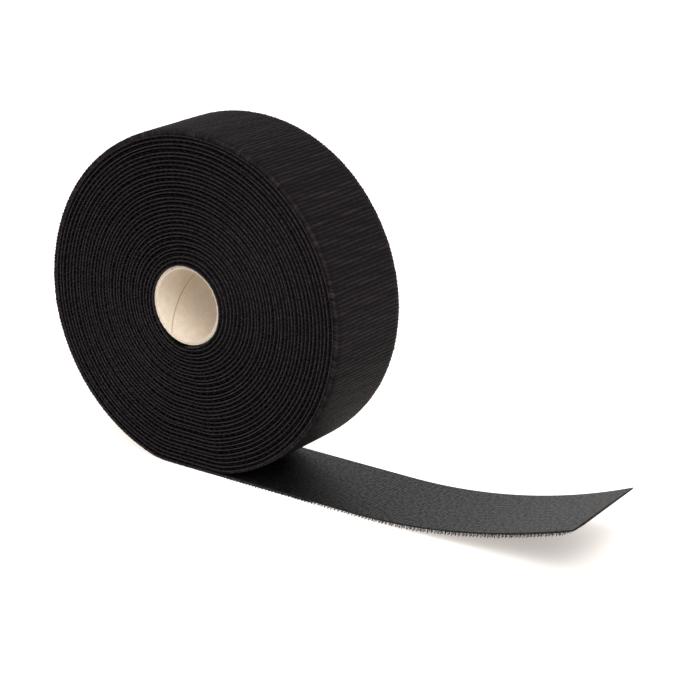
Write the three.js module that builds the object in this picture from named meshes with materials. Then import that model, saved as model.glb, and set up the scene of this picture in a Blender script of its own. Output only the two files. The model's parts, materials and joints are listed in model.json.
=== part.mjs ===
// A roll of hook tape: one long woven strip wound, hooks outwards, on a spiral-wound paper core. The end of the
// strip leaves the roll at the floor, lies flat for a while and curls up to a square cut.
// Millimetres, +Z up. The roll's axis runs along Y and its front face is at -Y. The origin is on the floor under
// the axis, where the tape leaves the roll, and the free tail runs towards +X.
import * as THREE from 'three';

// Tape
const TAPE_WIDTH = 50;
const BACKING_THICKNESS = 0.7;
const HOOK_HEIGHT = 1.05;
const HOOK_ROOT_HEIGHT = 0.2; // level of the pile between two rows of hooks
const HOOK_ROW_PITCH = 1.8;
const SELVEDGE_WIDTH = 2; // edge without full hooks, along both sides

// Wound roll
const ROLL_RADIUS = 81; // over the hooks of the outer turn
const FOOT_DEPTH = 2.5; // how far the roll's weight has pressed its foot flat
const TURN_GAP = 2; // least radial clearance between one turn and the next, where the roll is round
const STEPS_PER_TURN = 24;

// Paper core, from the outside in
const CORE_OUTER_RADIUS = 18.5;
const PLY_THICKNESS = 0.4;
const PLY_CLEARANCE = 0.25;
const SEAM_LEAD = 120; // length of core on which a ply's butt seam goes once round
const SEAM_GAP = 0.4;
const CORE_SHIFT_X = -1.8; // the tape has settled a little off the core's centre
const CORE_SHIFT_Z = 0.4;
const SEAM_FRONT_ANGLE = 239; // degrees from +X to +Z, where the inner ply's seam meets the front end
const SEAM_STAGGER = 120; // degrees from one ply's seam to the next
const PLY_STEPS_ROUND = 24;

// Adhesive strip that holds the tape's inner end on the core
const STRIP_THICKNESS = 0.2;
const STRIP_CLEARANCE = 0.2;
const STRIP_MARGIN = 4; // from the strip's end to the core's end
const STRIP_STEPS = 4; // length round the core, in steps of the winding

// Free tail, measured along the hooks from the point where the tape leaves the roll
const TAIL_FLAT_LENGTH = 92;
const TAIL_CURL_LENGTH = 110;
const TAIL_CURL_RADIUS = 272;
const TAIL_LINKS = 6; // stretches between the lines where the tail bends
const TAIL_LEAD = 3; // from the end of the roll's flat foot to the first of those lines
const LINK_GAP = 0.3;

const KRAFT_PAPER = 0xc2a687;
const BLACK_NYLON = 0x1c1c1e;
const CLEAR_ADHESIVE = 0xd9d3bd;

const TAPE_THICKNESS = BACKING_THICKNESS + HOOK_HEIGHT;
const HALF_WIDTH = TAPE_WIDTH / 2;
const AXIS_HEIGHT = ROLL_RADIUS - FOOT_DEPTH;
const FULL_TURN = 2 * Math.PI;

// The first turn seats on the strip. As many whole turns as fit with their clearance fill the rest.
const FIRST_TURN_RADIUS = CORE_OUTER_RADIUS + STRIP_THICKNESS + 2 * STRIP_CLEARANCE;
const WINDING_DEPTH = ROLL_RADIUS - TAPE_THICKNESS - FIRST_TURN_RADIUS;
const TURNS = Math.floor(WINDING_DEPTH / (TAPE_THICKNESS + TURN_GAP));

// The outer turn lies flat on the floor for the length of the foot, and the spiral starts at the foot's far end.
const FOOT_HALF_LENGTH = Math.sqrt(ROLL_RADIUS ** 2 - AXIS_HEIGHT ** 2);
const FOOT_ANGLE = Math.acos(AXIS_HEIGHT / ROLL_RADIUS);
const SPIRAL_ANGLE = FULL_TURN * TURNS - FOOT_ANGLE;

// The roll holds the tape down as far as the near end of its foot, and the tail bends beyond that.
const TAIL_LENGTH = TAIL_FLAT_LENGTH + TAIL_CURL_LENGTH;
const FIRST_HINGE = FOOT_HALF_LENGTH + TAIL_LEAD;
const LINK_LENGTH = (TAIL_LENGTH - FIRST_HINGE) / TAIL_LINKS;

const mesh = (name, geometry, color, roughness) => {
  const body = new THREE.Mesh(geometry, new THREE.MeshStandardMaterial({ color, roughness, metalness: 0 }));
  body.name = name;
  return body;
};

const evenly = (from, to, steps) => Array.from({ length: steps + 1 }, (_, i) => from + ((to - from) * i) / steps);

// A closed slab over a grid of columns by stations. place(column, side, station) gives the point on the outer
// side, 0, or on the inner side, 1. Columns, stations and the way inwards make a left-handed set, in that order.
function slab(columns, stations, place) {
  const points = stations.flatMap((station) =>
    columns.flatMap((column) => [0, 1].flatMap((side) => place(column, side, station))));
  const at = (c, side, s) => (s * columns.length + c) * 2 + side;
  const triangles = [];
  const quad = (a, b, c, d) => triangles.push(a, b, c, a, c, d);
  const lastColumn = columns.length - 1;
  const lastStation = stations.length - 1;
  for (let s = 0; s < lastStation; s++) {
    for (let c = 0; c < lastColumn; c++) {
      quad(at(c, 0, s), at(c + 1, 0, s), at(c + 1, 0, s + 1), at(c, 0, s + 1));
      quad(at(c, 1, s), at(c, 1, s + 1), at(c + 1, 1, s + 1), at(c + 1, 1, s));
    }
    quad(at(0, 0, s), at(0, 0, s + 1), at(0, 1, s + 1), at(0, 1, s));
    quad(at(lastColumn, 0, s), at(lastColumn, 1, s), at(lastColumn, 1, s + 1), at(lastColumn, 0, s + 1));
  }
  for (let c = 0; c < lastColumn; c++) {
    quad(at(c, 0, 0), at(c, 1, 0), at(c + 1, 1, 0), at(c + 1, 0, 0));
    quad(at(c, 0, lastStation), at(c + 1, 0, lastStation), at(c + 1, 1, lastStation), at(c, 1, lastStation));
  }
  const geometry = new THREE.BufferGeometry();
  geometry.setAttribute('position', new THREE.Float32BufferAttribute(points, 3));
  geometry.setIndex(triangles);
  return geometry;
}

// Side view of the roll: the angle runs back along the tape from the floor, up the left side and over the top.
// Weight flattens the foot, most at the outer turn, and the turns near the core share the core's shift.
function rollPoint(radius, angle) {
  const outward = (radius - CORE_OUTER_RADIUS) / (ROLL_RADIUS - CORE_OUTER_RADIUS);
  const pressed = FOOT_DEPTH * outward ** 2;
  const down = Math.cos(angle);
  const reach = down > 0 ? Math.min(radius, (radius - pressed) / down) : radius;
  const x = CORE_SHIFT_X * (1 - outward) - reach * Math.sin(angle);
  const z = AXIS_HEIGHT + CORE_SHIFT_Z * (1 - outward) - reach * down;
  return [x, z];
}

// Side view of the tail: length along the hooks, height above their tips.
function tailPoint(length, height) {
  const turn = Math.max(0, length - TAIL_FLAT_LENGTH) / TAIL_CURL_RADIUS;
  const x = Math.min(length, TAIL_FLAT_LENGTH) + (TAIL_CURL_RADIUS - height) * Math.sin(turn);
  const z = TAIL_CURL_RADIUS - (TAIL_CURL_RADIUS - height) * Math.cos(turn);
  return [x, z];
}

const turnRadius = (angle) => ROLL_RADIUS - (WINDING_DEPTH * Math.max(0, angle - FOOT_ANGLE)) / SPIRAL_ANGLE;
const hinge = (link) => FIRST_HINGE + link * LINK_LENGTH;

// Least distance from a turn's back to the hooks of the turn inside it, on the winding's own points.
function leastTurnGap(angles) {
  const backs = angles.map((angle) => rollPoint(turnRadius(angle) - TAPE_THICKNESS, angle));
  const hooks = angles.map((angle) => rollPoint(turnRadius(angle), angle));
  let least = Infinity;
  for (let i = 0; i < angles.length; i++) {
    for (let j = 0; j < angles.length; j++) {
      if (angles[j] - angles[i] > Math.PI) {
        least = Math.min(least, Math.hypot(backs[i][0] - hooks[j][0], backs[i][1] - hooks[j][1]));
      }
    }
  }
  return least;
}

// The tape on the roll, one unbroken strip from the core to the first bending line of the tail. The last steps are
// the two ends of the flat foot.
function windingGeometry() {
  const angles = [...evenly(FULL_TURN * TURNS, FOOT_ANGLE, STEPS_PER_TURN * TURNS - 1), 0];
  console.log(`${TURNS} turns, least gap between them ${leastTurnGap(angles).toFixed(2)} mm`);
  const stations = [...angles.map((angle) => -angle), hinge(0) - LINK_GAP / 2];
  return slab([-HALF_WIDTH, HALF_WIDTH], stations, (y, side, station) => {
    const [x, z] = station <= 0
      ? rollPoint(turnRadius(-station) - side * TAPE_THICKNESS, -station)
      : tailPoint(station, side * TAPE_THICKNESS);
    return [x, y, z];
  });
}

// One stretch of the tail, with its rows of hooks across the underside.
function linkGeometry(link) {
  const start = hinge(link) + LINK_GAP / 2;
  const end = link + 1 < TAIL_LINKS ? hinge(link + 1) - LINK_GAP / 2 : TAIL_LENGTH;
  const rows = Math.floor((end - start) / HOOK_ROW_PITCH);
  const stations = evenly(start, end, 2 * rows);
  const field = HALF_WIDTH - SELVEDGE_WIDTH;
  const onRow = (station) => stations.indexOf(station) % 2 === 1;
  return slab([-HALF_WIDTH, -field, field, HALF_WIDTH], stations, (y, side, station) => {
    const tip = onRow(station) ? 0 : HOOK_HEIGHT - HOOK_ROOT_HEIGHT;
    const under = Math.abs(y) > field ? HOOK_HEIGHT : tip;
    const [x, z] = tailPoint(station, side === 1 ? TAPE_THICKNESS : under);
    return [x, y, z];
  });
}

// One paper ply of the core: a tube cut along its helical butt seam. seam is the seam's angle at the front end.
// The seam turns by one step round in each step along, so the facets' diagonals run straight along the tube.
function plyGeometry(outerRadius, seam) {
  const columns = evenly(-HALF_WIDTH, HALF_WIDTH, Math.round((TAPE_WIDTH * PLY_STEPS_ROUND) / SEAM_LEAD));
  const open = SEAM_GAP / outerRadius;
  return slab(columns, evenly(open / 2, FULL_TURN - open / 2, PLY_STEPS_ROUND), (y, side, turn) => {
    const angle = seam - (FULL_TURN * (y + HALF_WIDTH)) / SEAM_LEAD + turn;
    const radius = outerRadius - side * PLY_THICKNESS;
    return [radius * Math.cos(angle), y, radius * Math.sin(angle)];
  });
}

// The adhesive strip lies across the core, under the first stretch of the tape from its inner end.
function stripGeometry() {
  const end = HALF_WIDTH - STRIP_MARGIN;
  const step = FULL_TURN / STEPS_PER_TURN;
  return slab([-end, end], evenly(0, STRIP_STEPS * step, STRIP_STEPS), (y, side, angle) => {
    const radius = CORE_OUTER_RADIUS + STRIP_CLEARANCE + (1 - side) * STRIP_THICKNESS;
    return [radius * Math.sin(angle), y, -radius * Math.cos(angle)];
  });
}

const roll = new THREE.Group();

const core = new THREE.Group();
core.position.set(CORE_SHIFT_X, 0, AXIS_HEIGHT + CORE_SHIFT_Z);
const plies = ['core_outer_ply', 'core_middle_ply', 'core_inner_ply'];
plies.forEach((name, layer) => {
  const outerRadius = CORE_OUTER_RADIUS - layer * (PLY_THICKNESS + PLY_CLEARANCE);
  const layersIn = plies.length - 1 - layer;
  const seam = THREE.MathUtils.degToRad(SEAM_FRONT_ANGLE - layersIn * SEAM_STAGGER);
  core.add(mesh(name, plyGeometry(outerRadius, seam), KRAFT_PAPER, 0.9));
});
core.add(mesh('start_adhesive_strip', stripGeometry(), CLEAR_ADHESIVE, 0.4));
roll.add(core);

roll.add(mesh('tape_winding', windingGeometry(), BLACK_NYLON, 0.85));
for (let link = 0; link < TAIL_LINKS; link++) {
  roll.add(mesh(`tape_tail_${link + 1}`, linkGeometry(link), BLACK_NYLON, 0.85));
}

export default roll;
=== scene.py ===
# %% [markdown]
# # A roll of hook tape
# The object is one long strip of black woven tape, wound hooks outwards on a paper core, with its free end
# lying on the floor. Seen from the side, all of it follows one line: the path of the hook tips, which
# spirals out of the core, runs under the roll and leaves along the floor. This lesson works that line out
# once and carries the cloth, the hooks and the bends of the tail along it, so that every piece meets its
# neighbour.

# %% Load the frame
import json
import math

import bpy
import numpy as np
from mathutils import Matrix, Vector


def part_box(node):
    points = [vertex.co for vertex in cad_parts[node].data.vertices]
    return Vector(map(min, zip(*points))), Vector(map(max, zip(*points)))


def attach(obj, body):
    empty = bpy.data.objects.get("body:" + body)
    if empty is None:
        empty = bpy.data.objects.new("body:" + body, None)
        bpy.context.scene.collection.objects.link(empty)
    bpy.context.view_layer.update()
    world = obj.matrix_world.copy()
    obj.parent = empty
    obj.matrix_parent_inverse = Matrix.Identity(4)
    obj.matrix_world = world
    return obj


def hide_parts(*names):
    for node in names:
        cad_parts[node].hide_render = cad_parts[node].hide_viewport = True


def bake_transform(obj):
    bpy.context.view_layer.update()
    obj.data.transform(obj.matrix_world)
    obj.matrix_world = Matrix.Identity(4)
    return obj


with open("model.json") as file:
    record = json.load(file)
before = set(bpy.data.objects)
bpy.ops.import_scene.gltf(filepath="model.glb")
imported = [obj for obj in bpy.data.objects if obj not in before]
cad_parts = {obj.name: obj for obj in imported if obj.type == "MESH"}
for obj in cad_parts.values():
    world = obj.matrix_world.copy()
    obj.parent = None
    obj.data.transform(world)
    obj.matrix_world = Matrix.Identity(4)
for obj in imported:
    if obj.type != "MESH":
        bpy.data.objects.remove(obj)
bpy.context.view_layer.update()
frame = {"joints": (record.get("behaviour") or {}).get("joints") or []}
MM = 0.001
FULL_TURN = 2 * math.pi

# %% [markdown]
# ## The camera
# A camera has a place, a direction and a lens. The photograph was taken from the front right and a little
# above, with a long lens, so the far rim of the roll is hardly smaller than the near one. The direction is
# three turns: yaw about the vertical, pitch down, and a slight roll about the line of sight.

# %% Camera
CAMERA_PLACE = (602.69 * MM, -795.68 * MM, 401.08 * MM)
CAMERA_YAW = -0.5898
CAMERA_PITCH = 0.3365
CAMERA_ROLL = 0.0212
CAMERA_LENS_MM = 117.73

camera = bpy.data.objects.new("camera", bpy.data.cameras.new("camera"))
camera.data.lens = CAMERA_LENS_MM
camera.data.clip_start = 0.05
heading = Matrix.Rotation(-CAMERA_YAW, 4, "Z")
tilt = Matrix.Rotation(math.pi / 2 - CAMERA_PITCH, 4, "X")
lean = Matrix.Rotation(CAMERA_ROLL, 4, "Z")
camera.matrix_world = Matrix.Translation(CAMERA_PLACE) @ heading @ tilt @ lean
bpy.context.scene.collection.objects.link(camera)
bpy.context.scene.camera = camera
bpy.context.scene.view_settings.view_transform = "Standard"
print("camera at", [round(v, 3) for v in camera.matrix_world.translation])

# %% [markdown]
# ## Putting numbers into a mesh
# A shape is worked out as whole arrays: points, and faces that name their corners by number. Blender takes
# arrays through foreach_set, which is far quicker than adding one vertex after another. Faces with
# different numbers of corners, such as walls and ends, come as an array each.

# %% Mesh helpers
def add_piece(name, points, faces, materials, sharp_degrees=180.0):
    """An object whose mesh has these points (n, 3) and faces, a list of (m, corners) arrays. Edges sharper
    than sharp_degrees stay crisp, and the rest are shaded smooth."""
    corners = np.concatenate([f.ravel() for f in faces])
    widths = np.concatenate([np.full(len(f), f.shape[1]) for f in faces])
    starts = np.concatenate(([0], np.cumsum(widths)[:-1]))
    mesh = bpy.data.meshes.new(name)
    mesh.vertices.add(len(points))
    mesh.vertices.foreach_set("co", np.ascontiguousarray(points, np.float32).ravel())
    mesh.loops.add(len(corners))
    mesh.loops.foreach_set("vertex_index", corners.astype(np.int32))
    mesh.polygons.add(len(widths))
    mesh.polygons.foreach_set("loop_start", starts.astype(np.int32))
    mesh.polygons.foreach_set("use_smooth", np.ones(len(widths), bool))
    mesh.update(calc_edges=True)
    if sharp_degrees < 180:
        mesh.set_sharp_from_angle(angle=math.radians(sharp_degrees))
    for material in materials:
        mesh.materials.append(material)
    piece = bpy.data.objects.new(name, mesh)
    bpy.context.scene.collection.objects.link(piece)
    return piece


def add_map(piece, name, corner_places):
    """A UV map with one place (u, v) for each corner of each face, in the order of the faces."""
    layer = piece.data.uv_layers.new(name=name)
    layer.uv.foreach_set("vector", np.ascontiguousarray(corner_places, np.float32).ravel())


def put_values(piece, name, values):
    """One number for each point, as an attribute that a material can read."""
    attribute = piece.data.attributes.new(name, "FLOAT", "POINT")
    attribute.data.foreach_set("value", np.ascontiguousarray(values, np.float32).ravel())


# %% Tubes and their copies
MAP_MARGIN = 0.1  # part of a map's square that stays empty on each side
SPOT_RADIUS = 0.03
SPOT_PLACES = ((0.5, 0.04), (0.5, 0.96))


def tube_faces(rings, around):
    """Faces of a tube over a grid of rings with so many points around each: its walls, and one flat face at
    each end."""
    ring, point = np.meshgrid(np.arange(rings - 1), np.arange(around), indexing="ij")
    after = (point + 1) % around
    walls = np.stack((ring * around + point, (ring + 1) * around + point,
                      (ring + 1) * around + after, ring * around + after), -1).reshape(-1, 4)
    ends = np.stack((np.arange(around), np.arange(rings * around - 1, (rings - 1) * around - 1, -1)))
    return [walls, ends]


def with_margin(share):
    """A share from 0 to 1, moved in between the margins of its square."""
    return MAP_MARGIN + (1 - 2 * MAP_MARGIN) * share


def tube_map(rings, around):
    """Places (u, v) for the corners of the faces of a tube, from 0 to 1: u around it and v along it. Each
    end face has a small round spot of its own, below or above the walls."""
    ring, point = np.meshgrid(np.arange(rings - 1), np.arange(around), indexing="ij")
    u = np.stack((point, point, point + 1, point + 1), -1) / around
    v = np.stack((ring, ring + 1, ring + 1, ring), -1) / (rings - 1)
    walls = np.stack((u, with_margin(v)), -1).reshape(-1, 2)
    turn = FULL_TURN * np.arange(around) / around
    spot = SPOT_RADIUS * np.stack((np.cos(turn), np.sin(turn)), -1)
    return np.concatenate((walls, *[spot + place for place in SPOT_PLACES]))


def copy_faces(faces, copies, size):
    """Faces of so many copies of a form that has size points."""
    first = np.arange(copies)[:, None, None] * size
    return [(first + f).reshape(-1, f.shape[1]) for f in faces]


def copy_map(places, faces):
    """Corner places (copies, corners, 2) in the order of the copied faces: the walls of all, then all
    ends."""
    walls = faces[0].size
    return np.concatenate((places[:, :walls].reshape(-1, 2), places[:, walls:].reshape(-1, 2)))


def enclosed_volume(points, faces):
    """Sum over triangles of the volume between each and the origin, positive if the faces point
    outwards."""
    total = 0.0
    for group in faces:
        first = points[group[:, 0]]
        for corner in range(1, group.shape[1] - 1):
            second, third = points[group[:, corner]], points[group[:, corner + 1]]
            total += np.einsum("ij,ij->i", first, np.cross(second, third)).sum() / 6
    return total


# %% [markdown]
# ## Finishes
# Three things are seen: black woven nylon, the stiff black hooks on it, and the kraft paper of the core.
# Each material is a small graph of nodes. What two materials share, such as the weave, is a node group that
# is built once and placed in each with its own numbers. Patterns read a map that is measured in metres
# along and across the tape, so that a thread has its real size everywhere.

# %% Node helpers
def add_node(tree, kind, values=(), **settings):
    """A node of this kind. settings are its options, and values are (input, value or output to link)
    pairs."""
    made = tree.nodes.new(kind)
    for option, value in settings.items():
        setattr(made, option, value)
    for socket, value in values:
        if isinstance(value, bpy.types.NodeSocket):
            tree.links.new(value, made.inputs[socket])
        else:
            made.inputs[socket].default_value = value
    return made


def calculate(tree, operation, first, second=0.0):
    """The output of one sum on values or outputs."""
    return add_node(tree, "ShaderNodeMath", [(0, first), (1, second)], operation=operation).outputs[0]


def noise(tree, place, scale, detail=2.0, roughness=0.5):
    """The output of a noise from 0 to 1 at this place."""
    values = [("Vector", place), ("Scale", scale), ("Detail", detail), ("Roughness", roughness)]
    return add_node(tree, "ShaderNodeTexNoise", values).outputs["Fac"]


def remap(tree, value, limits, results=(0.0, 1.0), kind="LINEAR"):
    """The output that runs from the first of results to the second while value runs between the limits."""
    sockets = ("Value", "From Min", "From Max", "To Min", "To Max")
    values = zip(sockets, (value, *limits, *results))
    return add_node(tree, "ShaderNodeMapRange", values, interpolation_type=kind).outputs["Result"]


def mix_colours(tree, share, first, second):
    """The output of a mix of two colours: the first where share is 0, the second where it is 1."""
    made = add_node(tree, "ShaderNodeMix", [(0, share), (6, first), (7, second)], data_type="RGBA")
    return made.outputs[2]


def add_bump(tree, shader, height, strength, distance):
    """Tilts the shading as if the surface rose by height times distance."""
    values = [("Height", height), ("Strength", strength), ("Distance", distance)]
    tree.links.new(add_node(tree, "ShaderNodeBump", values).outputs[0], shader.inputs["Normal"])


def new_group(name, inputs, outputs):
    """An empty node group with these (name, socket type) inputs and outputs, and its two end nodes."""
    tree = bpy.data.node_groups.new(name, "ShaderNodeTree")
    for label, kind in inputs:
        tree.interface.new_socket(name=label, in_out="INPUT", socket_type=kind)
    for label, kind in outputs:
        tree.interface.new_socket(name=label, in_out="OUTPUT", socket_type=kind)
    return tree, tree.nodes.new("NodeGroupInput"), tree.nodes.new("NodeGroupOutput")


def new_material(name, **constants):
    """A material with one Principled shader, whose plain values are set on its own sockets."""
    material = bpy.data.materials.new(name)
    material.use_nodes = True
    shader = material.node_tree.nodes["Principled BSDF"]
    for label, value in constants.items():
        shader.inputs[label.replace("_", " ")].default_value = value
    return material, material.node_tree, shader


# %% Weave group
VECTOR, FLOAT = "NodeSocketVector", "NodeSocketFloat"
THREAD_WANDER = 0.9  # how far the rows of the weave wander, as a share of one row
CROSSING = 1.6  # how much more the rows rise than the threads that cross them
RISE = 0.2  # brings the height of the weave to about 0 to 1

weave, weave_in, weave_out = new_group(
    "tape_weave",
    [("Place", VECTOR), ("Thread Along", FLOAT), ("Thread Across", FLOAT)],
    [("Height", FLOAT), ("Streak", FLOAT), ("Speckle", FLOAT)])
on_tape = weave_in.outputs["Place"]
split = add_node(weave, "ShaderNodeSeparateXYZ", [(0, on_tape)])
wandering = calculate(weave, "MULTIPLY", noise(weave, on_tape, 900.0), THREAD_WANDER)
turns_along = calculate(weave, "DIVIDE", split.outputs["X"], weave_in.outputs["Thread Along"])
turns_across = calculate(weave, "DIVIDE", split.outputs["Y"], weave_in.outputs["Thread Across"])
bent_along = calculate(weave, "ADD", turns_along, wandering)
rise_along = calculate(weave, "SINE", calculate(weave, "MULTIPLY", bent_along, FULL_TURN))
rise_across = calculate(weave, "SINE", calculate(weave, "MULTIPLY", turns_across, FULL_TURN))
crossed = calculate(weave, "MULTIPLY", rise_along, calculate(weave, "ADD", rise_across, CROSSING))
height = calculate(weave, "ADD", calculate(weave, "MULTIPLY", crossed, RISE), 0.5)
stretched = add_node(weave, "ShaderNodeMapping", [("Vector", on_tape), ("Scale", (1.0, 0.16, 1.0))])
streaks = noise(weave, stretched.outputs[0], 700.0, detail=3.0, roughness=0.6)
specks = noise(weave, on_tape, 650.0, roughness=0.7)
for label, output in (("Height", height), ("Streak", streaks), ("Speckle", specks)):
    weave.links.new(output, weave_out.inputs[label])
print("weave group has", len(weave.nodes), "nodes")

# %% Tape cloth
TAPE_WIDTH = 50 * MM
ROW_PITCH = 1.8 * MM  # from one row of hooks to the next, along the tape
# the height's share paints light and shade on the weave; the streaks' share is the yarns' own colour
RELIEF_SHADE_SHARE = 0.35  # part that the height of the weave has in the mix of yarns
YARN_AND_SHADE_LIMITS = (0.45, 0.9)
SPECK_LIMITS = (0.4, 0.6)
CLOTH_RELIEF = 0.15 * MM


def tape_cloth(name, thread_along, thread_across, dark, light, bump, gloss, **constants):
    """Woven nylon: dark and light yarns mixed by streaks and, as painted light and shade, by the height of
    the
    weave: lighter on its raised threads and darker in its dips, with the weave as bump. Its threads shine
    unevenly: specks have a coat whose weight lies between the two values of gloss."""
    material, tree, shader = new_material(name, **constants)
    place = add_node(tree, "ShaderNodeUVMap", uv_map="tape").outputs[0]
    values = [("Place", place), ("Thread Along", thread_along), ("Thread Across", thread_across)]
    cloth = add_node(tree, "ShaderNodeGroup", values, node_tree=weave)
    # painted shade: the colour is lighter where the weave rises and darker in its dips
    relief_shade = calculate(tree, "MULTIPLY", cloth.outputs["Height"], RELIEF_SHADE_SHARE)
    streaks_and_relief_shade = calculate(tree, "ADD", relief_shade, cloth.outputs["Streak"])
    yarn_and_relief_shade = remap(tree, streaks_and_relief_shade, YARN_AND_SHADE_LIMITS, kind="SMOOTHSTEP")
    tree.links.new(mix_colours(tree, yarn_and_relief_shade, dark, light), shader.inputs["Base Color"])
    add_bump(tree, shader, cloth.outputs["Height"], bump, CLOTH_RELIEF)
    shine = remap(tree, cloth.outputs["Speckle"], SPECK_LIMITS, gloss)
    tree.links.new(shine, shader.inputs["Coat Weight"])
    return material


back_cloth = tape_cloth(
    "tape_back", ROW_PITCH, 0.6 * MM, dark=(0.0008, 0.0006, 0.0007, 1), light=(0.008, 0.007, 0.0072, 1),
    bump=0.8, gloss=(0.0, 0.5), Roughness=0.5, Specular_IOR_Level=0.11, Coat_Roughness=0.45)
hook_ground = tape_cloth(
    "tape_hook_side", ROW_PITCH, 0.8 * MM, dark=(0.004, 0.0028, 0.0034, 1), light=(0.016, 0.0113, 0.0135, 1),
    bump=0.9, gloss=(0.0, 0.1), Roughness=0.8, Specular_IOR_Level=0.1, Coat_Roughness=0.6)
# tape_edge is a lighter copy of the same nylon, painted light: it makes the grey lines of the roll's face on
# the edges of the turns, and lightens the plain borders beside the hooks
painted_light_edge = tape_cloth(
    "tape_edge", 0.9 * MM, 0.9 * MM, dark=(0.003, 0.0022, 0.0026, 1), light=(0.013, 0.0097, 0.0113, 1),
    bump=0.8, gloss=(0.0, 0.27), Roughness=0.7, Specular_IOR_Level=0.1, Coat_Roughness=0.5)
print("cloth finishes:", back_cloth.name, hook_ground.name, painted_light_edge.name)

# %% Hook nylon
# the tone attribute mixes these two colours: it differs at random, and also paints light and shade, lighter
# on hook tips and rib peaks and darker at roots and in grooves
HOOK_DARK_AND_SHADE = (0.002, 0.0014, 0.0017, 1)
HOOK_LIGHT_AND_HIGHLIGHT = (0.055, 0.040, 0.047, 1)
hook_nylon, tree, shader = new_material("hook_nylon", Roughness=0.6, Specular_IOR_Level=0.055)
tone = add_node(tree, "ShaderNodeAttribute", attribute_name="tone").outputs["Fac"]
tree.links.new(mix_colours(tree, tone, HOOK_DARK_AND_SHADE, HOOK_LIGHT_AND_HIGHLIGHT), shader.inputs["Base Color"])
print("hooks darken towards their roots by the attribute named tone")

# %% Paper
SEAM_BROWN = (0.30, 0.23, 0.16, 1)
MOTTLE_LIMITS = (0.35, 0.65)
PAPER_TOOTH = 0.05 * MM

fibre, fibre_in, fibre_out = new_group(
    "paper_fibre", [("Place", VECTOR)], [("Mottle", FLOAT), ("Fibre", FLOAT)])
on_paper = fibre_in.outputs["Place"]
mottle = noise(fibre, on_paper, 260.0, detail=4.0, roughness=0.6)
combed = add_node(fibre, "ShaderNodeMapping", [("Vector", on_paper), ("Scale", (0.25, 1.0, 1.0))])
strands = noise(fibre, combed.outputs[0], 2600.0, roughness=0.7)
fibre.links.new(mottle, fibre_out.inputs["Mottle"])
fibre.links.new(strands, fibre_out.inputs["Fibre"])


def paper(name, dark, light, bump):
    """Paper: mottled between two browns, darker along its seam, with the tooth of its fibres as bump."""
    material, tree, shader = new_material(name, Roughness=0.75)
    place = add_node(tree, "ShaderNodeUVMap", uv_map="paper").outputs[0]
    grain = add_node(tree, "ShaderNodeGroup", [("Place", place)], node_tree=fibre)
    both = calculate(tree, "ADD", grain.outputs["Fibre"], grain.outputs["Mottle"])
    mean = calculate(tree, "MULTIPLY", both, 0.5)
    mottled = mix_colours(tree, remap(tree, mean, MOTTLE_LIMITS, kind="SMOOTHSTEP"), dark, light)
    seam = add_node(tree, "ShaderNodeAttribute", attribute_name="seam").outputs["Fac"]
    tree.links.new(mix_colours(tree, seam, mottled, SEAM_BROWN), shader.inputs["Base Color"])
    add_bump(tree, shader, grain.outputs["Fibre"], bump, PAPER_TOOTH)
    return material


kraft_wall = paper("kraft_wall", (0.70, 0.595, 0.475, 1), (0.80, 0.70, 0.585, 1), bump=0.3)
kraft_rim = paper("kraft_rim", (0.67, 0.565, 0.44, 1), (0.83, 0.74, 0.62, 1), bump=0.8)
print("papers:", kraft_wall.name, kraft_rim.name)

# %% Adhesive
ADHESIVE_DARK = (0.55, 0.50, 0.38, 1)
ADHESIVE_LIGHT = (0.72, 0.68, 0.56, 1)
adhesive_film, tree, shader = new_material("adhesive_film", Roughness=0.35)
inside_it = add_node(tree, "ShaderNodeTexCoord").outputs["Object"]
cloudy = mix_colours(tree, noise(tree, inside_it, 300.0), ADHESIVE_DARK, ADHESIVE_LIGHT)
tree.links.new(cloudy, shader.inputs["Base Color"])
print("adhesive:", adhesive_film.name)

# %% [markdown]
# ## The line that everything follows
# On the roll, a place is an angle that runs back along the tape: 0 at the floor, then up the left side and
# over the top. The radius shrinks by about one tape thickness a turn, a little more in the outer turns,
# which lie looser. After the floor the line runs straight, and then bends up on a wide arc, because the
# tape remembers being wound.

# %% Sizes of the roll and the tail
ROLL_RADIUS = 81 * MM
TIP_RADIUS = ROLL_RADIUS - 0.4 * MM  # of the outer turn's tips, if they were as low as between two turns
CORE_RADIUS = 18.5 * MM
FIRST_TURN_RADIUS = 18.95 * MM  # of the tape's back at its inner end
BACKING = 0.7 * MM
HOOK_HEIGHT = 1.05 * MM
TAPE_THICKNESS = BACKING + HOOK_HEIGHT
FIRST_TIP_RADIUS = FIRST_TURN_RADIUS + TAPE_THICKNESS
TURNS = 33
LOOSENESS = 0.04  # share by which the inner turns lie closer than the mean
SPIRAL_STEP = (TIP_RADIUS - FIRST_TIP_RADIUS) / TURNS * (1 - LOOSENESS)
FOOT_DEPTH = 2.5 * MM
FOOT_ROUNDING = 0.6  # how softly the flat foot runs into the round, as a share of its depth
CORE_SHIFT = (-1.8 * MM, 0.4 * MM)
TAIL_FLAT = 90 * MM
TAIL_CURL = 112 * MM
CURL_RADIUS = 278 * MM
TAIL_LENGTH = TAIL_FLAT + TAIL_CURL
CUT_ROOM = 5 * MM  # the path runs on past the tail's end, because the cut isn't quite square
AXIS_HEIGHT = ROLL_RADIUS - FOOT_DEPTH
FOOT_PRESS = TIP_RADIUS - AXIS_HEIGHT
print(f"roll {2 * ROLL_RADIUS / MM:.0f} mm across, inner turns {SPIRAL_STEP / MM:.2f} mm apart")

# %% Side view
LEAST_DOWN = 0.05  # keeps the way to the floor finite at the sides of the roll
TINY = 1e-6


def smooth_least(first, second, blend):
    """The smaller of two lengths, rounded over the stretch where they differ by less than blend."""
    share = np.clip(0.5 + 0.5 * (second - first) / blend, 0, 1)
    return second + (first - second) * share - blend * share * (1 - share)


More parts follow.
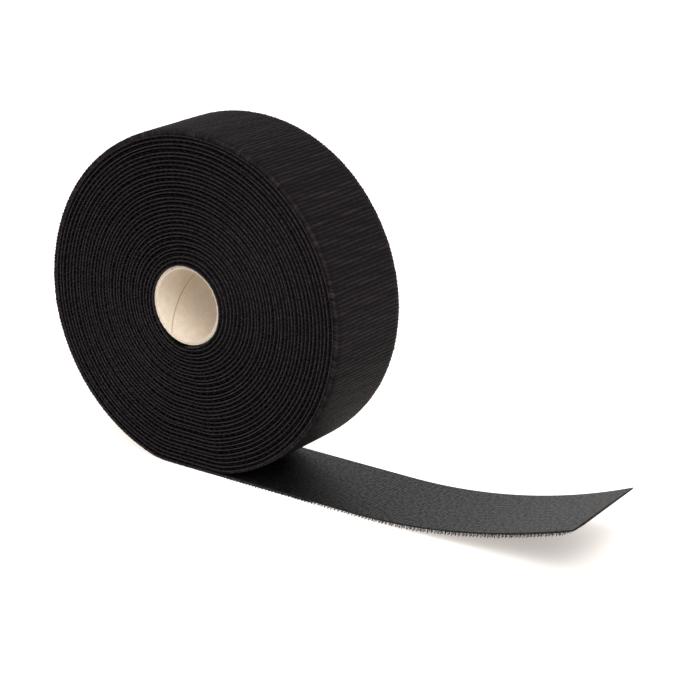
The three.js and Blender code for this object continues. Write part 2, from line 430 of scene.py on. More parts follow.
def roll_point(radius, angle):
    """Side view of a turn. The reach from the axis is the radius, or less where the floor has pressed the
    turn flat, and the centre moves from the core's centre to the roll's with the radius."""
    outward = (radius - CORE_RADIUS) / (TIP_RADIUS - CORE_RADIUS)
    pressed = FOOT_PRESS * outward**2
    down = np.cos(angle)
    to_floor = (radius - pressed) / np.maximum(down, LEAST_DOWN)
    reach = smooth_least(radius, to_floor, FOOT_ROUNDING * pressed + TINY)
    x = CORE_SHIFT[0] * (1 - outward) - reach * np.sin(angle)
    z = AXIS_HEIGHT + CORE_SHIFT[1] * (1 - outward) - reach * down
    return np.stack((x, z), -1)


def tail_point(length):
    """Side view of the tail at a length from the roll's foot: straight, and then an arc that bends up."""
    turn = np.maximum(0, length - TAIL_FLAT) / CURL_RADIUS
    x = np.minimum(length, TAIL_FLAT) + CURL_RADIUS * np.sin(turn)
    return np.stack((x, CURL_RADIUS * (1 - np.cos(turn))), -1)


print("top of the roll at", (roll_point(TIP_RADIUS, math.pi) / MM).round(1), "mm")

# %% [markdown]
# A real roll isn't a perfect spiral. Its weight presses the foot flat, the turns near the core sit a little
# off its centre, and each turn lies a little high or low and to one side. The first turns lie tight on the
# core and stand out at the front.

# %% Unevenness
FLOOR_FADE = 3  # radians over which the ripples grow from nothing at the floor
HIGH_AND_LOW = ((0.18 * MM, 2.03, 0.4), (0.12 * MM, 3.11, 2.1), (0.09 * MM, 5.27, 0.9),
                (0.06 * MM, 8.43, 1.7), (0.08 * MM, 1.46, 0.7), (0.07 * MM, 0.54, 2.5))
SIDE_TO_SIDE = ((0.16 * MM, 0.31, 1.0), (0.09 * MM, 1.13, 0.2), (0.05 * MM, 2.9, 2.2))
CLIMB = (0.8, 1.0)  # part of a turn in which the tape climbs over its inner end
SINK = (0.17, 0.27)  # and in which it sinks off the strip that starts the winding
STRIP_ROOM = 0.35 * MM  # how far it sinks there
FADING_TURNS = 4
PUSHED_OUT = 1.8 * MM  # the innermost turns stand out at the front
PUSHED_TURNS = 3


def ripple(angle, waves):
    """A sum of sines of the angle, each with its size, waves a turn and phase, fading out at the floor."""
    total = sum(size * np.sin(rate * angle + phase) for size, rate, phase in waves)
    return total * (1 - np.exp(-angle / FLOOR_FADE))


def smooth_step(value, low, high):
    """0 below low, 1 above high, and the cubic 3 t^2 - 2 t^3 between them."""
    share = np.clip((value - low) / (high - low), 0, 1)
    return share**2 * (3 - 2 * share)


def tighter(turns):
    """What is added to the radius after so many turns from the core, so that the first turns lie round and
    tight: each sinks off the strip, and climbs by one step of the spiral only in its last part. This fades
    with the number of whole turns."""
    whole = np.floor(turns)
    part = turns - whole
    level = SPIRAL_STEP * (smooth_step(part, *CLIMB) - part)
    sunk = STRIP_ROOM * smooth_step(part, *SINK) * (1 - smooth_step(part, *CLIMB))
    return (level - sunk) * np.exp(-whole / FADING_TURNS)


print("first turn lies", round(float(-tighter(0.75)) / MM, 2), "mm inside the plain spiral")

# %% Path of the hook tips
STEPS_A_TURN = 360
TAIL_STEPS = 828
roll_angles = np.linspace(TURNS * FULL_TURN, 0, TURNS * STEPS_A_TURN + 1)
wound = 1 - roll_angles / (TURNS * FULL_TURN)
turns_wound = TURNS * wound
tip_radii = FIRST_TIP_RADIUS + (TIP_RADIUS - FIRST_TIP_RADIUS) * (wound + LOOSENESS * (wound**4 - wound))
settled = 1 - np.exp(-turns_wound)
tip_radii += ripple(roll_angles, HIGH_AND_LOW) * settled + tighter(turns_wound)
tail_lengths = np.linspace(0, TAIL_LENGTH + CUT_ROOM, TAIL_STEPS + 1)[1:]
path = np.concatenate((roll_point(tip_radii, roll_angles), tail_point(tail_lengths)))
roll_sway = ripple(roll_angles, SIDE_TO_SIDE) - PUSHED_OUT * np.exp(-turns_wound / PUSHED_TURNS)
sway = np.concatenate((roll_sway, np.zeros(len(tail_lengths))))
along = np.concatenate(([0], np.cumsum(np.hypot(*np.diff(path, axis=0).T))))
slope = np.gradient(path, along, axis=0)
FOOT_AT = along[len(roll_angles) - 1]
OUTER_TURN_AT = along[len(roll_angles) - 1 - STEPS_A_TURN]
TAPE_LENGTH = FOOT_AT + TAIL_LENGTH
print(f"tape {TAPE_LENGTH:.2f} m long, {TURNS} turns, tail {TAIL_LENGTH / MM:.0f} mm")

# %% A point of the tape
HALF_WIDTH = TAPE_WIDTH / 2
CORNER_DROOP = 2 * MM  # how far the near corner of the cut hangs below the far one


def droop(length, across):
    """How far a place on the tail hangs down: the fourth power of the way along the curl, times a share
    that falls from 1 at the near edge to 0 at the far one."""
    curled = np.clip((length - FOOT_AT - TAIL_FLAT) / TAIL_CURL, 0, None)
    return CORNER_DROOP * curled**4 * (0.5 - across / TAPE_WIDTH)


def tape_point(length, across, lift):
    """Points of the tape at lengths from its inner end, places across its width and heights above its back.
    The height is measured square to the path, which is that of the hook tips."""
    at = np.stack([np.interp(length, along, path[:, i]) for i in (0, 1)], -1)
    heading = np.stack([np.interp(length, along, slope[:, i]) for i in (0, 1)], -1)
    heading = heading / np.linalg.norm(heading, axis=-1, keepdims=True)
    outward = np.stack((heading[..., 1], -heading[..., 0]), -1)
    side = at + outward * (lift - TAPE_THICKNESS)[..., None]
    height = side[..., 1] - droop(length, across)
    return np.stack((side[..., 0], across + np.interp(length, along, sway), height), -1)


print("outer turn starts", round(OUTER_TURN_AT, 2), "m along")

# %% [markdown]
# ## The cloth
# The backing is 0.7 mm of woven nylon with rounded edges: a section carried along the path. In the unseen
# middle of the inner turns the section rises to one solid bed, which stands for the hooks there. Only the
# outer turn, the tail and the edges have hooks of their own.

# %% Cloth section
EDGE_ROUNDING = 0.3 * MM
EDGE_POINTS = 5
SELVEDGE = 0.5 * MM  # plain border beside the hooks
BED_HEIGHT = 1.7 * MM  # the bed bites into the back of the next turn, so that no light comes through
BED_INSET = 6.5 * MM  # from the tape's edge to the solid bed
BED_RAMP = 1.0 * MM
BED_FADE = 60 * MM  # length over which the bed sinks away before the outer turn
edge_turn = np.linspace(0, math.pi, EDGE_POINTS + 2)[1:-1]
right_edge = np.stack((HALF_WIDTH - EDGE_ROUNDING * (1 - np.sin(edge_turn)),
                       BACKING / 2 * (1 + np.cos(edge_turn))), -1)
left_edge = right_edge[::-1] * (-1, 1)
border_line = [HALF_WIDTH - EDGE_ROUNDING, HALF_WIDTH - SELVEDGE]
bed_line = [HALF_WIDTH - BED_INSET, HALF_WIDTH - BED_INSET - BED_RAMP]
hook_line = border_line + bed_line
hook_side = np.array([(-y, BACKING) for y in hook_line] + [(y, BACKING) for y in reversed(hook_line)])
back_side = np.array([(y, 0.0) for y in border_line] + [(-y, 0.0) for y in reversed(border_line)])
section = np.concatenate((hook_side, right_edge, back_side, left_edge))
in_bed = np.abs(np.arange(len(section)) - len(hook_line) + 0.5) < 1
BACK, HOOKS, EDGE = range(3)
face_sides = np.full(len(section), EDGE)
face_sides[1:len(hook_side) - 2] = HOOKS
face_sides[len(hook_side) + len(right_edge):][:len(back_side) - 1] = BACK
print("section of the cloth has", len(section), "points")

# %% The cut end
CUT_PAST = 2.1 * MM  # how far the middle of the cut lies past the nominal length
CUT_SKEW = 0.3 * MM  # and by how much more or less each edge does
CORNER_WEAR = 1.3 * MM
CORNER_WIDTH = 4.5 * MM


def cut_reach(across):
    """How far the cut lies past the tail's length at a place across the tape: a slight lean, less the
    square of the way into the near corner, which is worn round."""
    into_corner = np.clip((CORNER_WIDTH - HALF_WIDTH - across) / CORNER_WIDTH, 0, 1)
    return CUT_PAST + CUT_SKEW * across / HALF_WIDTH - CORNER_WEAR * into_corner**2


print("cut lies", [round(float(cut_reach(y)) / MM, 2) for y in (-HALF_WIDTH, HALF_WIDTH)], "mm past the end")

# %% Cloth between two lengths
LEAST_STATIONS = 9


def add_cloth(name, start, end, step, back_rib, edge):
    """The cloth between two lengths of the path, closed at both ends. Its stations lie a step apart, its
    back rises by back_rib with each row of the weave, and its back, hook side and edges have a material
    each."""
    share = np.linspace(0, 1, max(LEAST_STATIONS, int((end - start) / step) + 1))[:, None]
    across = np.broadcast_to(section[:, 0], (len(share), len(section)))
    reach = end - start + cut_reach(across) * (end > TAPE_LENGTH - MM)
    length = start + share * reach
    bed = BED_HEIGHT * np.clip((OUTER_TURN_AT - length) / BED_FADE, 0, 1)
    rib = back_rib * (0.5 + 0.5 * np.cos(FULL_TURN * length / ROW_PITCH))
    lift = section[:, 1] + bed * in_bed - rib * (section[:, 1] <= 0)
    points = tape_point(length, across, lift).reshape(-1, 3)
    faces = [f[:, ::-1] for f in tube_faces(len(share), len(section))]
    piece = add_piece(name, points, faces, (back_cloth, hook_ground, edge), sharp_degrees=50)
    places = np.stack((length, across), -1).reshape(-1, 2)
    add_map(piece, "tape", places[np.concatenate([f.ravel() for f in faces])])
    sides = np.concatenate((np.tile(face_sides, len(share) - 1), (EDGE, EDGE)))
    piece.data.polygons.foreach_set("material_index", sides.astype(np.int32))
    volume = enclosed_volume(points, faces)
    print(f"{name}: {len(points)} points, {end - start:.3f} m, encloses {volume * 1e6:.1f} cm3")
    return piece


# %% Cloth on the roll and on the tail
ROLL_STEP = 3.0 * MM
BACK_RIB = 0.05 * MM
RIB_STATIONS = 6  # stations to each rib of the back
TAIL_STEP = ROW_PITCH / RIB_STATIONS
TAIL_BENDS = len(frame["joints"])
FIRST_BEND = frame["joints"][0]["pos_m"][0]
BEND_STEP = (TAIL_LENGTH - FIRST_BEND) / TAIL_BENDS
ROLL_HOLDS_TO = math.sqrt(ROLL_RADIUS**2 - AXIS_HEIGHT**2)
bend_at = FIRST_BEND + BEND_STEP * np.arange(TAIL_BENDS)
cuts = np.concatenate(([ROLL_HOLDS_TO], bend_at + BEND_STEP / 2))
ends = np.concatenate((cuts[1:-1], [TAIL_LENGTH]))
tail_spans = [(i + 1, FOOT_AT + cuts[i], FOOT_AT + ends[i]) for i in range(TAIL_BENDS)]
roll_cloth = add_cloth("tape_on_roll", 0.0, FOOT_AT + ROLL_HOLDS_TO, ROLL_STEP, 0.0, painted_light_edge)
tail_cloths = [add_cloth(f"tape_bend_{i}", start, end, TAIL_STEP, BACK_RIB, back_cloth)
               for i, start, end in tail_spans]

# %% [markdown]
# ## The hooks
# A hook is a stiff nylon thread that stands up from the cloth and bends over at its top. Thousands are
# needed, so one is worked out as a three-sided tube of a few faces, and copies are placed by arrays: each
# has its length along the tape, its place across it, a turn about its own stem, a height and a lean. Hooks
# stand in rows across the tape. They are pressed down between the turns and on the floor, and stand taller
# where they are free. Each has a small square of a map, so that its colour can be baked.

# %% One hook
THREAD_RADIUS = 0.15 * MM
THREAD_SIDES = 3
STEM = np.array(((0.0, -0.08), (0.0, 0.50), (0.04, 0.80), (0.22, 0.93), (0.42, 0.70))) * MM
stem_slope = np.gradient(STEM, axis=0)
stem_slope /= np.linalg.norm(stem_slope, axis=1, keepdims=True)
stem_normal = np.stack((stem_slope[:, 1], -stem_slope[:, 0]), -1)
thread_turn = FULL_TURN * np.arange(THREAD_SIDES) / THREAD_SIDES
hook_forward = STEM[:, 0, None] + THREAD_RADIUS * np.cos(thread_turn) * stem_normal[:, 0, None]
hook_sideways = np.broadcast_to(THREAD_RADIUS * np.sin(thread_turn), hook_forward.shape)
hook_up = STEM[:, 1, None] + THREAD_RADIUS * np.cos(thread_turn) * stem_normal[:, 1, None]
hook_points = np.stack((hook_forward, hook_sideways, hook_up), -1).reshape(-1, 3)
hook_faces = tube_faces(len(STEM), THREAD_SIDES)
hook_map = tube_map(len(STEM), THREAD_SIDES)
root_to_tip = np.repeat(np.linspace(0, 1, len(STEM)), THREAD_SIDES)
print("one hook:", len(hook_points), "points,", sum(len(f) for f in hook_faces), "faces")

# %% Rows across the tape
HOOK_PITCH = 0.8 * MM
ROW_OFFSET = 0.12 * MM
OFFSET_PHASE = 12.9  # radians from one row to the next, so that neighbours differ
ROW_WAVE = 0.08 * MM
WAVE_LENGTH = 38 * MM
WAVE_PHASE = 2.4
FIELD = (SELVEDGE - HALF_WIDTH, HALF_WIDTH - SELVEDGE)
field = np.linspace(*FIELD, round((FIELD[1] - FIELD[0]) / HOOK_PITCH) + 1)
seeds = np.random.default_rng(34)


def rows_between(start, end):
    """Numbers of the rows between two lengths."""
    return np.arange(math.ceil(start / ROW_PITCH), math.ceil(end / ROW_PITCH))


def row_place(row, across):
    """Length along the tape of a row at a place across it: its number times the pitch, moved by a slight
    offset of its own and by a slight wave."""
    wave = ROW_WAVE * np.sin(FULL_TURN * across / WAVE_LENGTH + WAVE_PHASE * row)
    return row * ROW_PITCH + ROW_OFFSET * np.sin(OFFSET_PHASE * row) + wave


print("rows on the whole tape:", len(rows_between(0, TAPE_LENGTH)), "hooks in a row:", len(field))

# %% Heights of the hooks
FREE_HEIGHT = 2.6  # a hook with nothing on its tip, as a share of one between two turns
TAIL_HEIGHT = 1.5  # a hook of the tail, which has lain under a turn before
FREE_ROOM = 1.5 * MM  # height of the tail's hook line above the floor where a hook is free
ROLL_ROOM = 62 * MM  # and that of the outer turn's, where the tail has lately lain on the hooks
CUT_FADE = 5 * MM  # length before the cut over which the hooks have been combed flat
CUT_HEIGHT = 0.5
BORDER_SHARE = 0.8  # height beside the borders, which grows to full height over TAPER_WIDTH
TAPER_WIDTH = 2.4 * MM


def field_taper(across, least, width):
    """A share that grows from least beside the plain borders to 1 at this width inside them."""
    inside = HALF_WIDTH - SELVEDGE - np.abs(across)
    return np.clip(least + (1 - least) * inside / width, least, 1)


def hook_growth(length):
    """Height of a hook as a share of one between two turns: more where there is room over its tip, less
    beside the cut."""
    room = np.interp(length, along, path[:, 1]) / np.where(length > FOOT_AT, FREE_ROOM, ROLL_ROOM)
    most = np.where(length > FOOT_AT, TAIL_HEIGHT, FREE_HEIGHT)
    grown = 1 + (most - 1) * np.clip(room, 0, 1) * (length > OUTER_TURN_AT)
    return grown * np.clip((TAPE_LENGTH - length) / CUT_FADE, CUT_HEIGHT, 1)


print("free hooks stand", round(FREE_HEIGHT * HOOK_HEIGHT / MM, 2), "mm tall at most")

# %% [markdown]
# ## The ribs
# In one row the stems stand so close together that, from a step away, they make one dark ridge with a
# ragged top. On the outer turn and the tail, where whole rows are seen, the ridge is made as a strip: a
# wide section with a slight peak, carried across the tape, with its height drawn anew at each step.
# Neighbours overlap, and the first and last of a piece reach its ends. The hooks rise out of it.

# %% Ribs
RIB_SHARE = 0.9  # height of a rib as a share of that of its hooks
RIB_RAGGED = (0.93, 1.0)
RIB_STEP = 1.6 * MM
RIB_JITTER_MM = 0.1
RIB_LINE = np.array(((-1.15, -0.05), (-1.1, 0.88), (-0.4, 0.93), (0.0, 1.0),
                     (0.4, 0.93), (1.1, 0.88), (1.15, -0.05)))  # length in mm and share of the height
# each rib's peak gets painted highlight; its flanks and the grooves between ribs keep painted shade
RIB_PAINTED_HIGHLIGHT = np.array((0.0, 0.0, 0.16, 1.0, 0.16, 0.0, 0.0))
RIB_GROUND = 0.18  # least tone of a rib
BRIGHT_BORDER = 2 * MM  # width beside the edges where the ends of the rows get painted light
BORDER_PAINTED_LIGHT = 0.9  # least tone there: painted light on the ends of the rows
PLAIN_WIDTH = 5 * MM  # beside the borders the rows get less painted highlight and are hardly lighter than the ground between them
PLAIN_SHARE = 0.25
ROW_SHADES = (0.4, 1.0)
FADE_LENGTH = 27 * MM  # rows fade in and out over about this length
FADE_MEAN = 0.65
FADE_SWING = 0.35
FADE_PHASES = (5.1, 3.7)  # radians from one row to the next


def rib_tones(rows, across, shades):
    """Tones of the ribs' points: a painted highlight on the peak over painted shade in the grooves, fading
    along each row and from row to row.
    """
    swing = np.sin(FULL_TURN * across / FADE_LENGTH + FADE_PHASES[0] * rows) * np.sin(FADE_PHASES[1] * rows)
    fade = (FADE_MEAN + FADE_SWING * swing) * seeds.uniform(*ROW_SHADES, (len(rows), 1, 1))
    ground = np.where(np.abs(across) > HALF_WIDTH - BRIGHT_BORDER, BORDER_PAINTED_LIGHT, RIB_GROUND)
    peak = np.maximum(RIB_PAINTED_HIGHLIGHT * field_taper(across, PLAIN_SHARE, PLAIN_WIDTH), ground)
    return seeds.uniform(*shades, across.shape) * fade * peak


def add_ribs(name, start, end, front, shades):
    """One ridge for each row between two lengths, from the place front across the tape to the back border.
    shades give the least and greatest share of the lightest colour, a painted highlight, on its top."""
    rows = rows_between(start, end)[:, None, None]
    steps = np.linspace(front, FIELD[1], round((FIELD[1] - front) / RIB_STEP) + 1)[:, None]
    across = steps + seeds.uniform(-RIB_JITTER_MM, RIB_JITTER_MM, (len(rows), 1, 1)) * MM
    middle = row_place(rows, across)
    ragged = seeds.uniform(*RIB_RAGGED, across.shape)
    taper = field_taper(across, BORDER_SHARE, TAPER_WIDTH)
    height = RIB_SHARE * HOOK_HEIGHT * hook_growth(middle) * taper * ragged
    length = np.clip(middle + RIB_LINE[:, 0] * MM, start, end)
    length[0, :, :2] = start
    length[-1, :, -2:] = end
    lift = BACKING + height * RIB_LINE[:, 1]
    points = tape_point(length, np.broadcast_to(across, length.shape), lift).reshape(-1, 3)
    rib_faces = tube_faces(len(steps), len(RIB_LINE))
    faces = copy_faces(rib_faces, len(rows), len(steps) * len(RIB_LINE))
    piece = add_piece(name, points, faces, (hook_nylon,))
    around, onwards = tube_map(len(steps), len(RIB_LINE)).T
    band = (np.arange(len(rows))[:, None] + with_margin(around)) / len(rows)
    places = np.stack((np.broadcast_to(onwards, band.shape), band), -1)
    add_map(piece, "OFBake", copy_map(places, rib_faces))
    put_values(piece, "tone", rib_tones(rows, across, shades))
    print(f"{name}: {len(rows)} ribs, encloses {enclosed_volume(points, faces) * 1e9:.0f} mm3")
    return piece


# %% Hooks at their places
INNER_LEAN = 0.6  # how far the hooks at the edge lean out, as a share of their height
OUTER_LEAN = 0.1
TAIL_LEAN = 0.7  # more on the tail, where the floor has splayed them
LEANING_COLUMNS = 3
LEANING_FROM = HALF_WIDTH - SELVEDGE - HOOK_PITCH * (LEANING_COLUMNS - 0.5)
PRESSED = (0.84, 0.98)
FREE = (0.82, 0.94)
LENGTH_SPREAD_MM = 0.05
ACROSS_SPREAD_MM = 0.10
FACING_SPREAD = 0.25
BACKWARD_SHARE = 0.15  # part of the hooks that bend over the other way
LEAN_SPREAD = 0.08
# painted shade towards the roots of the hooks and painted light at their tips
ROOT_TONE = 0.2


def hook_places(start, end, columns):
    """Lengths and places across of the hooks between two lengths: rows times columns. On the inner turns
    every second row is without the columns nearest to the edges, so that their edge looks toothed."""
    row, across = (grid.ravel() for grid in np.meshgrid(rows_between(start, end), columns, indexing="ij"))
    outermost = (across < FIELD[0] + HOOK_PITCH / 2) | (across > FIELD[1] - HOOK_PITCH / 2)
    kept = (row % 2 == 0) | ~outermost | (start >= OUTER_TURN_AT)
    row, across = row[kept], across[kept]
    length = row_place(row, across) + seeds.normal(0, LENGTH_SPREAD_MM, len(row)) * MM
    return np.clip(length, start, end), across + seeds.normal(0, ACROSS_SPREAD_MM, len(row)) * MM


def add_hooks(name, start, end, columns, heights, shades, edge_lean):
    """Hooks at their places between two lengths of the path, with small differences in height, turn and
    lean. heights and shades give the least and greatest share of the full height and of the lightest
    colour, painted darker towards the roots, and the hooks at the edge lean out by edge_lean."""
    length, across = hook_places(start, end, columns)
    count = len(length)
    facing = seeds.normal(0, FACING_SPREAD, count) + math.pi * (seeds.random(count) < BACKWARD_SHARE)
    tall = seeds.uniform(*heights, count) * hook_growth(length)
    if OUTER_TURN_AT <= start < FOOT_AT:
        tall = tall * field_taper(across, BORDER_SHARE, TAPER_WIDTH)
    lean = seeds.normal(0, LEAN_SPREAD, (count, 2))
    lean[:, 1] += edge_lean * np.sign(across) * (np.abs(across) > LEANING_FROM)
    forward, sideways, up = hook_points.T
    up = up * tall[:, None]
    ahead, aside = np.cos(facing)[:, None], np.sin(facing)[:, None]
    turned_along = forward * ahead - sideways * aside + lean[:, :1] * up
    turned_across = forward * aside + sideways * ahead + lean[:, 1:] * up
    points = tape_point(length[:, None] + turned_along, across[:, None] + turned_across, BACKING + up)
    points = points.reshape(-1, 3)
    faces = copy_faces(hook_faces, count, len(hook_points))
    piece = add_piece(name, points, faces, (hook_nylon,))
    cells = math.ceil(math.sqrt(count))
    cell = np.stack((np.arange(count) % cells, np.arange(count) // cells), -1)[:, None]
    add_map(piece, "OFBake", copy_map((cell + with_margin(hook_map)) / cells, hook_faces))
    root_shade_tip_light = ROOT_TONE + (1 - ROOT_TONE) * root_to_tip
    put_values(piece, "tone", seeds.uniform(*shades, count)[:, None] * root_shade_tip_light)
    print(f"{name}: {count} hooks, enclose {enclosed_volume(points, faces) * 1e9:.0f} mm3")
    return piece


# %% Hooks of the roll and of the tail
FRONT_COLUMNS = 4
BACK_COLUMNS = 3
OUTER_PIECES = 3
EDGE_PIECES = 3
RIB_SHADES = (0.45, 0.8)
FIELD_SHADES = (0.05, 0.45)
# the hooks on the edges of the inner turns are painted lighter than those of the outer turn, so that they
# show in the shade between the turns
EDGE_HOOK_PAINTED_LIGHT = (0.3, 0.8)
SINGLE_HOOKS = 3 * MM  # where the tail is free, its edge shows single hooks
outer_cuts = np.linspace(OUTER_TURN_AT, FOOT_AT + ROLL_HOLDS_TO, OUTER_PIECES + 1)
inner_cuts = np.linspace(0, OUTER_TURN_AT, EDGE_PIECES + 1)
outer_spans = [(i + 1, outer_cuts[i], outer_cuts[i + 1]) for i in range(OUTER_PIECES)]
inner_spans = [(i + 1, inner_cuts[i], inner_cuts[i + 1]) for i in range(EDGE_PIECES)]
rib_fronts = [FIELD[0] + SINGLE_HOOKS * (end > FOOT_AT + TAIL_FLAT) for i, start, end in tail_spans]
outer_ribs = [add_ribs(f"ribs_outer_{i}", start, end, FIELD[0], RIB_SHADES) for i, start, end in outer_spans]
outer_hooks = [add_hooks(f"hooks_outer_{i}", start, end, field, FREE, FIELD_SHADES, OUTER_LEAN)
               for i, start, end in outer_spans]
edge_hooks = [add_hooks(f"hooks_{side}_{i}", start, end, columns, PRESSED, EDGE_HOOK_PAINTED_LIGHT, INNER_LEAN)
              for side, columns in (("front", field[:FRONT_COLUMNS]), ("back", field[-BACK_COLUMNS:]))
              for i, start, end in inner_spans]
tail_ribs = [add_ribs(f"ribs_bend_{i}", start, end, front, RIB_SHADES)
             for (i, start, end), front in zip(tail_spans, rib_fronts)]
tail_hooks = [add_hooks(f"hooks_bend_{i}", start, end, field, FREE, FIELD_SHADES, TAIL_LEAN)
              for i, start, end in tail_spans]

# %% [markdown]
# ## The paper core
# The core is wound from three strips of kraft paper, one over the other, each at a slant with its edges
# butted, so every strip shows one helical seam. A strip is its section, carried round the tube: out along
# the wall, over the cut end and back inside. The angle where it starts and ends moves with the place along
# the tube, which makes the seam.

# %% Core plies
CORE_BORE = 16.8 * MM
PLIES = ("core_outer_ply", "core_middle_ply", "core_inner_ply")
PLY_LINE = 0.05 * MM  # dark line between two plies on the cut end
SEAM_LEAD = 120 * MM
SEAM_GAP = 0.25 * MM
SEAM_SHADE = 0.3 * MM  # width of the dark line on each side of a seam
SEAM_DARK = 0.7
SEAM_FRONT_ANGLE = math.radians(239)
SEAM_STAGGER = math.radians(120)
RIM_ROUNDING = 0.15 * MM
RIM_FUZZ = 0.05 * MM
FRAY_DEPTH = 1.5 * MM  # how far from the ends the paper is frayed
NICK_DEPTH = 0.35 * MM
NICK_WIDTH = math.radians(5)
STEPS_ROUND = 240
WALL_POINTS = 45
core_centre = (CORE_SHIFT[0], AXIS_HEIGHT + CORE_SHIFT[1])
ply_step = (CORE_RADIUS - CORE_BORE) / len(PLIES)


def add_ply(name, outer, inner, seam):
    """A paper strip wound once round between two radii. Its angle is that of the seam, which falls steadily
    along the tube, plus a share of the full turn. Its ends are frayed, with a nick at the seam in front."""
    inset = np.array((0.0, 0.3, 1.0))
    bow = RIM_ROUNDING * (1 - np.sqrt(1 - (1 - inset)**2))
    wall = np.linspace(-HALF_WIDTH + RIM_ROUNDING, HALF_WIDTH - RIM_ROUNDING, WALL_POINTS)
    rim = HALF_WIDTH - RIM_ROUNDING * inset
    across = np.concatenate((wall, rim[1::-1], rim[:2], wall[::-1], -rim[1::-1], -rim[:2]))[::-1]
    radius = np.concatenate((np.full(WALL_POINTS, outer), outer - bow[1::-1], inner + bow[:2],
                             np.full(WALL_POINTS, inner), inner + bow[1::-1], outer - bow[:2]))[::-1]
    share = np.linspace(0, 1, STEPS_ROUND + 1)
    gap = SEAM_GAP / outer
    start = seam - FULL_TURN * (across + HALF_WIDTH) / SEAM_LEAD + gap / 2
    angle = start[None, :] + share[:, None] * (FULL_TURN - gap)
    frayed = seeds.normal(0, RIM_FUZZ, STEPS_ROUND + 1)
    from_seam = np.minimum(share, 1 - share) * FULL_TURN
    nick = NICK_DEPTH * np.exp(-(from_seam / NICK_WIDTH)**2)
    near_end = np.clip((np.abs(across) - HALF_WIDTH + FRAY_DEPTH) / FRAY_DEPTH, 0, 1)
    pulled_in = (frayed[:, None] + np.where(across < 0, nick[:, None], 0)) * near_end
    place = across[None, :] * np.ones_like(angle) - np.sign(across)[None, :] * pulled_in
    points = np.stack((core_centre[0] + radius * np.cos(angle), place,
                       core_centre[1] + radius * np.sin(angle)), -1).reshape(-1, 3)
    faces = tube_faces(len(share), len(across))
    piece = add_piece(name, points, faces, (kraft_wall, kraft_rim), sharp_degrees=60)
    places = np.stack((angle * radius, np.broadcast_to(across, angle.shape)), -1).reshape(-1, 2)
    add_map(piece, "paper", places[np.concatenate([f.ravel() for f in faces])])
    seam_tone = SEAM_DARK * np.exp(-(from_seam * outer / SEAM_SHADE)**2)
    put_values(piece, "seam", np.broadcast_to(seam_tone[:, None], angle.shape))
    rims = np.abs(across) > wall.max() - TINY
    on_rim = np.zeros(len(piece.data.polygons), np.int32)
    on_rim[:len(faces[0])].reshape(-1, len(across))[:, rims & np.roll(rims, -1)] = 1
    piece.data.polygons.foreach_set("material_index", on_rim)
    print(f"{name}: {len(points)} points, encloses {enclosed_volume(points, faces) * 1e6:.2f} cm3")
    return piece


plies = []
for i, node in enumerate(PLIES):
    outer = CORE_RADIUS - i * ply_step
    inner = outer - ply_step + PLY_LINE
    seam = SEAM_FRONT_ANGLE - (len(PLIES) - 1 - i) * SEAM_STAGGER
    plies.append(add_ply(f"paper_{node[5:]}", outer, inner, seam))

# %% [markdown]
# ## The strip that starts the winding
# A winding is started with a short strip of double-sided tape between the core and the first turn. It is
# hidden, so a curved slab is enough: a section carried along a short arc.

# %% Adhesive strip
STRIP_RADIUS = 18.7 * MM
STRIP_THICKNESS = 0.2 * MM
STRIP_ARC = math.radians(60)
STRIP_POINTS = 33
strip_low, strip_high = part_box("start_adhesive_strip")
strip_half = (strip_high.y - strip_low.y) / 2
strip_section = np.array(((0, 1), (1, 1), (1, -1), (0, -1)), float) * (STRIP_THICKNESS, strip_half)
strip_angle = np.linspace(0, STRIP_ARC, STRIP_POINTS)[:, None]
strip_reach = STRIP_RADIUS + strip_section[:, 0]
strip_across = np.broadcast_to(strip_section[:, 1], (STRIP_POINTS, len(strip_section)))
strip_points = np.stack((core_centre[0] + strip_reach * np.sin(strip_angle), strip_across,
                         core_centre[1] - strip_reach * np.cos(strip_angle)), -1).reshape(-1, 3)
strip_faces = tube_faces(STRIP_POINTS, len(strip_section))
adhesive_strip = add_piece("adhesive_strip", strip_points, strip_faces, (adhesive_film,), sharp_degrees=50)
print("adhesive strip encloses", round(enclosed_volume(strip_points, strip_faces) * 1e9, 1), "mm3; node box",
      [round(v / MM, 1) for v in (*strip_low, *strip_high)])

# %% [markdown]
# ## What moves with what
# The roll is one body. The tail bends at six lines, so its cloth and its hooks are cut half-way between two
# lines.

# %% Ride, and hide the parts they replace
for piece in (roll_cloth, *outer_ribs, *outer_hooks, *edge_hooks, *plies, adhesive_strip):
    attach(piece, "roll")
for i in range(TAIL_BENDS):
    for piece in (tail_cloths[i], tail_ribs[i], tail_hooks[i]):
        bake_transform(piece)
    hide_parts(f"tape_tail_{i + 1}")
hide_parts("tape_winding")
for piece, node in zip(plies, PLIES):
    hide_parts(node)
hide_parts("start_adhesive_strip")
print("pieces bending with the tail:", 3 * TAIL_BENDS)

# %% [markdown]
# ## Light and floor
# The photograph is a bright table-top picture: white all round, with a short soft shadow where the tape
# meets the floor. A large lamp in front, at the upper right, shapes the roll, and a white surround,
# brighter behind, fills the rest. The floor is pale, and seen by the camera it gains a little light of its
# own, so that it reaches white and still keeps the shadow.

# %% Floor
FLOOR_HALF = 6.0
FLOOR_COLOUR = (0.83, 0.795, 0.765, 1)
LIFT_COLOUR = (1.0, 0.93, 0.87, 1)
# The floor's own light, which only the camera and reflections see, is painted light: it is weakest near
# SHADOW_PLACE, by the tail's end, where the shadow stays, and strongest from FAR on, where it whitens the
# roll's shadow.
LIFT_NEAR = 0.15
LIFT_FAR = 0.8
SHADOW_PLACE = (0.25, -0.05, 0.0)
NEAR, FAR = 0.03, 0.2  # distances from SHADOW_PLACE over which the floor's own light grows


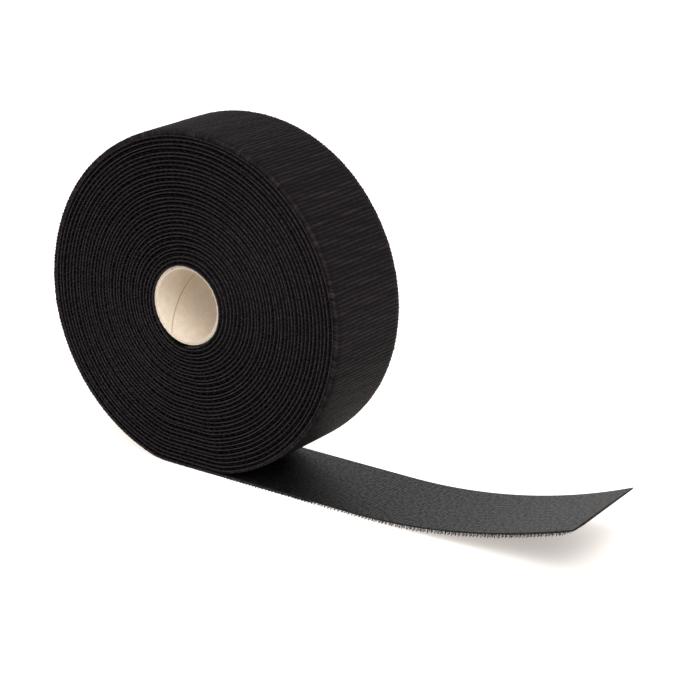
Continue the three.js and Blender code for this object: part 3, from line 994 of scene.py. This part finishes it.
def seen_directly(tree):
    """The output that is 1 for rays that show the background itself: from the camera, or by gloss or
    glass."""
    ray = add_node(tree, "ShaderNodeLightPath")
    seen = calculate(tree, "MAXIMUM", ray.outputs["Is Camera Ray"], ray.outputs["Is Glossy Ray"])
    return calculate(tree, "MAXIMUM", seen, ray.outputs["Is Transmission Ray"])


floor_material = bpy.data.materials.new("pale_floor")
floor_material.use_nodes = True
tree = floor_material.node_tree
tree.nodes.clear()
pale = add_node(tree, "ShaderNodeBsdfDiffuse", [("Color", FLOOR_COLOUR)])
spot = add_node(tree, "ShaderNodeTexCoord").outputs["Object"]
from_shadow = add_node(tree, "ShaderNodeVectorMath", [(0, spot), (1, SHADOW_PLACE)], operation="DISTANCE")
lift = remap(tree, from_shadow.outputs["Value"], (NEAR, FAR), (LIFT_NEAR, LIFT_FAR))
strength = calculate(tree, "MULTIPLY", seen_directly(tree), lift)
lifted = add_node(tree, "ShaderNodeEmission", [("Color", LIFT_COLOUR), ("Strength", strength)])
both = add_node(tree, "ShaderNodeAddShader", [(0, pale.outputs[0]), (1, lifted.outputs[0])])
add_node(tree, "ShaderNodeOutputMaterial", [("Surface", both.outputs[0])])
floor_points = np.array(((-1, -1, 0), (1, -1, 0), (1, 1, 0), (-1, 1, 0)), float) * FLOOR_HALF
floor = add_piece("floor", floor_points, [np.arange(4)[None]], (floor_material,))
print("floor", 2 * FLOOR_HALF, "m wide")

# %% Surround
SURROUND_FRONT = 0.22
SURROUND_BACK = 0.62
BRIGHT_SIDE = (0.0, 0.6, 0.8)  # behind and above the object
FRONT_LIMIT = -0.6  # cosine of the angle from the bright side at which it is darkest
world = bpy.data.worlds.new("surround")
world.use_nodes = True
tree = world.node_tree
tree.nodes.clear()
direction = add_node(tree, "ShaderNodeTexCoord").outputs["Generated"]
facing_it = add_node(tree, "ShaderNodeVectorMath", [(0, direction), (1, BRIGHT_SIDE)],
                     operation="DOT_PRODUCT")
sky = remap(tree, facing_it.outputs["Value"], (FRONT_LIMIT, 1.0), (SURROUND_FRONT, SURROUND_BACK))
level = calculate(tree, "MAXIMUM", seen_directly(tree), sky)
surround = add_node(tree, "ShaderNodeBackground", [("Color", (1, 1, 1, 1)), ("Strength", level)])
add_node(tree, "ShaderNodeOutputWorld", [("Surface", surround.outputs[0])])
bpy.context.scene.world = world
print("surround from", SURROUND_FRONT, "to", SURROUND_BACK)

# %% Lamp
def add_lamp(name, place, target, size, watts):
    """A square lamp of this size, turned to face the target."""
    lamp = bpy.data.objects.new(name, bpy.data.lights.new(name, "AREA"))
    lamp.data.size = size
    lamp.data.energy = watts
    away = np.subtract(place, target)
    back = away / np.linalg.norm(away)
    right = np.cross((0, 0, 1), back)
    right /= np.linalg.norm(right)
    up = np.cross(back, right)
    lamp.matrix_world = Matrix([[right[i], up[i], back[i], place[i]] for i in range(3)] + [[0, 0, 0, 1]])
    bpy.context.scene.collection.objects.link(lamp)


add_lamp("key_lamp", place=(0.75, -0.85, 1.15), target=(0.03, 0.0, 0.05), size=1.4, watts=28.0)
print("key lamp set")
